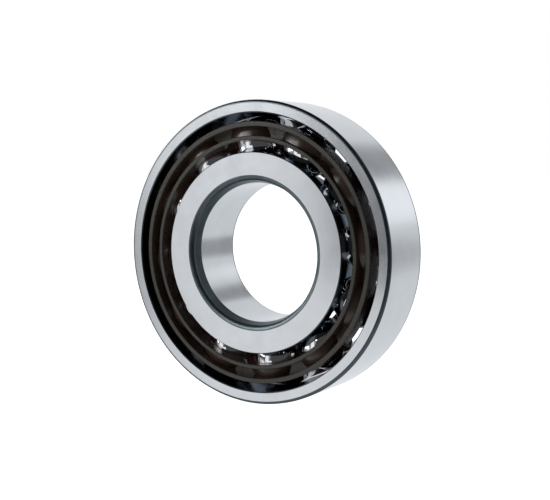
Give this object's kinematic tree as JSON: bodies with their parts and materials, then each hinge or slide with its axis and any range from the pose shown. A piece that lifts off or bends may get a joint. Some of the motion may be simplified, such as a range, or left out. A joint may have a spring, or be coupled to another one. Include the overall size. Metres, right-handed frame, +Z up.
{
  "type": "angular contact ball bearing",
  "caption": "Angular contact ball bearing with a wide and a thin ring side, steel balls and a moulded window cage.",
  "frame": {"origin": "centre of the bore, half way along the bearing's width", "axes": "+Y along the axis of rotation, from the inner ring's wide face (front) to the outer ring's wide face (back); +Z up, +X to the right seen from the front"},
  "size_m": [0.13, 0.031, 0.13],
  "materials": {
    "ring_steel": "ground",
    "ball_steel": "polished",
    "cage_polymer": "satin"
  },
  "bodies": {
    "outer_ring_body": {"outer_ring": "ring_steel"},
    "inner_ring_body": {"inner_ring": "ring_steel"},
    "cage_body": {"cage": "cage_polymer"},
    "ball_01_body": {"ball_01": "ball_steel"},
    "ball_02_body": {"ball_02": "ball_steel"},
    "ball_03_body": {"ball_03": "ball_steel"},
    "ball_04_body": {"ball_04": "ball_steel"},
    "ball_05_body": {"ball_05": "ball_steel"},
    "ball_06_body": {"ball_06": "ball_steel"},
    "ball_07_body": {"ball_07": "ball_steel"},
    "ball_08_body": {"ball_08": "ball_steel"},
    "ball_09_body": {"ball_09": "ball_steel"},
    "ball_10_body": {"ball_10": "ball_steel"},
    "ball_11_body": {"ball_11": "ball_steel"},
    "ball_12_body": {"ball_12": "ball_steel"}
  },
  "joints": [
    {"name": "inner_ring_spin", "type": "hinge", "parent": "outer_ring_body", "child": "inner_ring_body", "pos_m": [0, 0, 0], "axis": [0, 1, 0], "continuous": true},
    {"name": "cage_spin", "type": "hinge", "parent": "outer_ring_body", "child": "cage_body", "pos_m": [0, 0, 0], "axis": [0, 1, 0], "continuous": true},
    {"name": "ball_01_spin", "type": "hinge", "parent": "cage_body", "child": "ball_01_body", "pos_m": [0.01932, 0, 0.04339], "axis": [-0.2614, 0.766, -0.5872], "continuous": true},
    {"name": "ball_02_spin", "type": "hinge", "parent": "cage_body", "child": "ball_02_body", "pos_m": [0.03843, 0, 0.02792], "axis": [-0.52, 0.766, -0.3778], "continuous": true},
    {"name": "ball_03_spin", "type": "hinge", "parent": "cage_body", "child": "ball_03_body", "pos_m": [0.04724, 0, 0.00497], "axis": [-0.6393, 0.766, -0.0672], "continuous": true},
    {"name": "ball_04_spin", "type": "hinge", "parent": "cage_body", "child": "ball_04_body", "pos_m": [0.04339, 0, -0.01932], "axis": [-0.5872, 0.766, 0.2614], "continuous": true},
    {"name": "ball_05_spin", "type": "hinge", "parent": "cage_body", "child": "ball_05_body", "pos_m": [0.02792, 0, -0.03843], "axis": [-0.3778, 0.766, 0.52], "continuous": true},
    {"name": "ball_06_spin", "type": "hinge", "parent": "cage_body", "child": "ball_06_body", "pos_m": [0.00497, 0, -0.04724], "axis": [-0.0672, 0.766, 0.6393], "continuous": true},
    {"name": "ball_07_spin", "type": "hinge", "parent": "cage_body", "child": "ball_07_body", "pos_m": [-0.01932, 0, -0.04339], "axis": [0.2614, 0.766, 0.5872], "continuous": true},
    {"name": "ball_08_spin", "type": "hinge", "parent": "cage_body", "child": "ball_08_body", "pos_m": [-0.03843, 0, -0.02792], "axis": [0.52, 0.766, 0.3778], "continuous": true},
    {"name": "ball_09_spin", "type": "hinge", "parent": "cage_body", "child": "ball_09_body", "pos_m": [-0.04724, 0, -0.00497], "axis": [0.6393, 0.766, 0.0672], "continuous": true},
    {"name": "ball_10_spin", "type": "hinge", "parent": "cage_body", "child": "ball_10_body", "pos_m": [-0.04339, 0, 0.01932], "axis": [0.5872, 0.766, -0.2614], "continuous": true},
    {"name": "ball_11_spin", "type": "hinge", "parent": "cage_body", "child": "ball_11_body", "pos_m": [-0.02792, 0, 0.03843], "axis": [0.3778, 0.766, -0.52], "continuous": true},
    {"name": "ball_12_spin", "type": "hinge", "parent": "cage_body", "child": "ball_12_body", "pos_m": [-0.00497, 0, 0.04724], "axis": [0.0672, 0.766, -0.6393], "continuous": true}
  ],
  "couplings": [
    {"joint": "cage_spin", "follows": "inner_ring_spin", "ratio": 0.4104},
    {"joint": "ball_01_spin", "follows": "inner_ring_spin", "ratio": -2.0686},
    {"joint": "ball_02_spin", "follows": "inner_ring_spin", "ratio": -2.0686},
    {"joint": "ball_03_spin", "follows": "inner_ring_spin", "ratio": -2.0686},
    {"joint": "ball_04_spin", "follows": "inner_ring_spin", "ratio": -2.0686},
    {"joint": "ball_05_spin", "follows": "inner_ring_spin", "ratio": -2.0686},
    {"joint": "ball_06_spin", "follows": "inner_ring_spin", "ratio": -2.0686},
    {"joint": "ball_07_spin", "follows": "inner_ring_spin", "ratio": -2.0686},
    {"joint": "ball_08_spin", "follows": "inner_ring_spin", "ratio": -2.0686},
    {"joint": "ball_09_spin", "follows": "inner_ring_spin", "ratio": -2.0686},
    {"joint": "ball_10_spin", "follows": "inner_ring_spin", "ratio": -2.0686},
    {"joint": "ball_11_spin", "follows": "inner_ring_spin", "ratio": -2.0686},
    {"joint": "ball_12_spin", "follows": "inner_ring_spin", "ratio": -2.0686}
  ]
}
